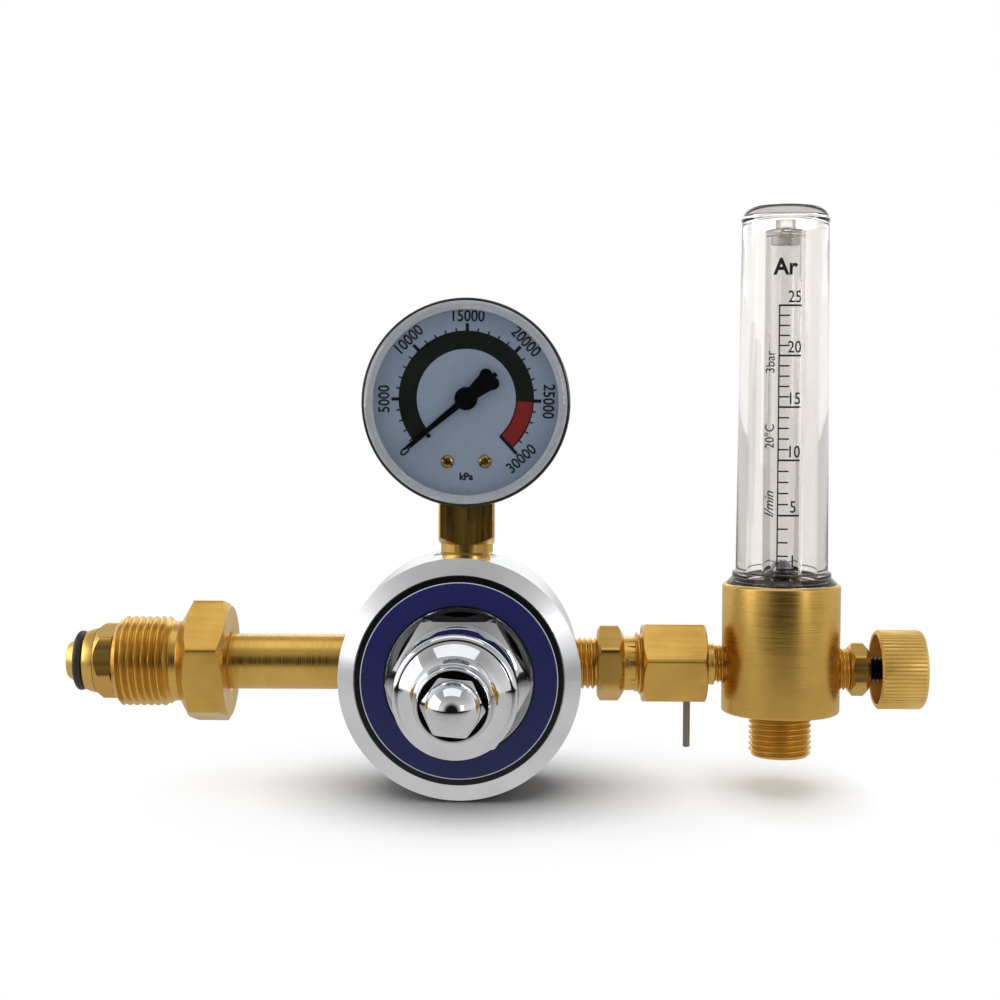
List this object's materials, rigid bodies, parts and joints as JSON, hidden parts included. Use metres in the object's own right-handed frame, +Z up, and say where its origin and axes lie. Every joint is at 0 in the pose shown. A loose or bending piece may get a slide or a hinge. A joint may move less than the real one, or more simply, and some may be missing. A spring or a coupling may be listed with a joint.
{
  "type": "gas flowmeter regulator",
  "caption": "Shielding gas regulator with a brass bottle connection, chromed body, round contents gauge and an upright flow tube with a knurled valve.",
  "frame": {"origin": "on the port line, in the middle of the inlet nut's thread", "axes": "+X along the port line towards the flow valve, -Y out of the dial, +Z up"},
  "size_m": [0.2189, 0.0833, 0.1485],
  "materials": {
    "brass": "machined, bare",
    "small_brass": "stamped and turned, bare",
    "chrome": "bright plating over turned brass",
    "blue_label": "printed dark blue",
    "steel": "bright",
    "black_steel": "blackened",
    "case_black": "black stove paint",
    "dial_white": "white, printed",
    "phosphor_bronze": "drawn, bare",
    "copper": "annealed copper",
    "rubber": "moulded",
    "seat_plastic": "natural nylon",
    "clear_plastic": "clear, moulded",
    "clear_lens": "clear, moulded"
  },
  "bodies": {
    "regulator": {"inlet_tube": "brass", "nose_nipple": "brass", "outlet_nipple": "brass", "coupling_nut": "brass", "coupling_tail": "brass", "flow_body": "brass", "valve_gland": "brass", "gauge_socket": "brass", "valve_nozzle": "brass", "dial_screws": "small_brass", "dial_spacers": "small_brass", "movement_posts": "small_brass", "movement_back_plate": "small_brass", "movement_front_plate": "small_brass", "movement_screws": "small_brass", "tube_tip": "small_brass", "gland_washer": "small_brass", "regulator_body": "chrome", "bonnet": "chrome", "acorn_nut": "chrome", "label_ring": "blue_label", "spring_button": "steel", "adjusting_screw": "steel", "main_spring": "steel", "slip_ring": "steel", "poppet_spring": "steel", "steel_pin": "steel", "stop_pin": "steel", "gauge_case": "case_black", "gauge_dial": "dial_white", "bourdon_tube": "phosphor_bronze", "hairspring": "phosphor_bronze", "inlet_filter": "phosphor_bronze", "gauge_seal": "copper", "nose_o_ring": "rubber", "diaphragm": "rubber", "cover_seal": "rubber", "tube_base_seal": "rubber", "spindle_seal": "rubber", "blowout_plug": "rubber", "coupling_washer": "seat_plastic", "tube_stop": "seat_plastic", "flow_cover": "clear_plastic", "metering_tube": "clear_plastic", "gauge_lens": "clear_lens"},
    "inlet_nut": {"inlet_nut": "brass"},
    "valve": {"diaphragm_plate": "steel", "diaphragm_washer": "steel", "valve_pin": "steel", "valve_poppet": "brass", "seat_insert": "seat_plastic"},
    "float": {"float_ball": "steel"},
    "spindle": {"needle_spindle": "black_steel"},
    "knob": {"control_knob": "brass"},
    "pointer": {"pointer": "black_steel", "pinion_arbor": "steel"},
    "sector": {"sector_gear": "small_brass"},
    "link": {"tip_link": "small_brass"}
  },
  "joints": [
    {"name": "nut_spin", "type": "hinge", "parent": "regulator", "child": "inlet_nut", "pos_m": [0, 0, 0], "axis": [1, 0, 0], "continuous": true},
    {"name": "regulating_travel", "type": "slide", "parent": "regulator", "child": "valve", "axis": [0, -1, 0], "range_m": [0, 0.00055], "stiffness_N_per_m": 300, "springref_m": -0.001, "deforming": ["main_spring", "poppet_spring", "diaphragm"]},
    {"name": "float_rise", "type": "slide", "parent": "regulator", "child": "float", "axis": [0, 0, 1], "range_m": [0, 0.0798]},
    {"name": "spindle_travel", "type": "slide", "parent": "regulator", "child": "spindle", "axis": [1, 0, 0], "range_m": [0, 0.00219]},
    {"name": "knob_turn", "type": "hinge", "parent": "spindle", "child": "knob", "pos_m": [0.18805, 0, -0.00125], "axis": [1, 0, 0], "range_deg": [0, 790]},
    {"name": "pointer_turn", "type": "hinge", "parent": "regulator", "child": "pointer", "pos_m": [0.08225, -0.01, 0.0676], "axis": [0, 1, 0], "range_deg": [0, 264.5], "stiffness_Nm_per_rad": 0.00002, "springref_deg": -45.84},
    {"name": "sector_swing", "type": "hinge", "parent": "regulator", "child": "sector", "pos_m": [0.07225, -0.004, 0.05891], "axis": [0, -1, 0], "range_deg": [0, 27.56]},
    {"name": "link_swing", "type": "hinge", "parent": "sector", "child": "link", "pos_m": [0.07211, -0.0033, 0.05431], "axis": [0, 1, 0], "range_deg": [0, 27.56]}
  ],
  "couplings": [
    {"joint": "knob_turn", "follows": "spindle_travel", "rad_per_m": 6283.2},
    {"joint": "sector_swing", "follows": "pointer_turn", "ratio": 0.10417},
    {"joint": "link_swing", "follows": "pointer_turn", "ratio": 0.10417}
  ]
}
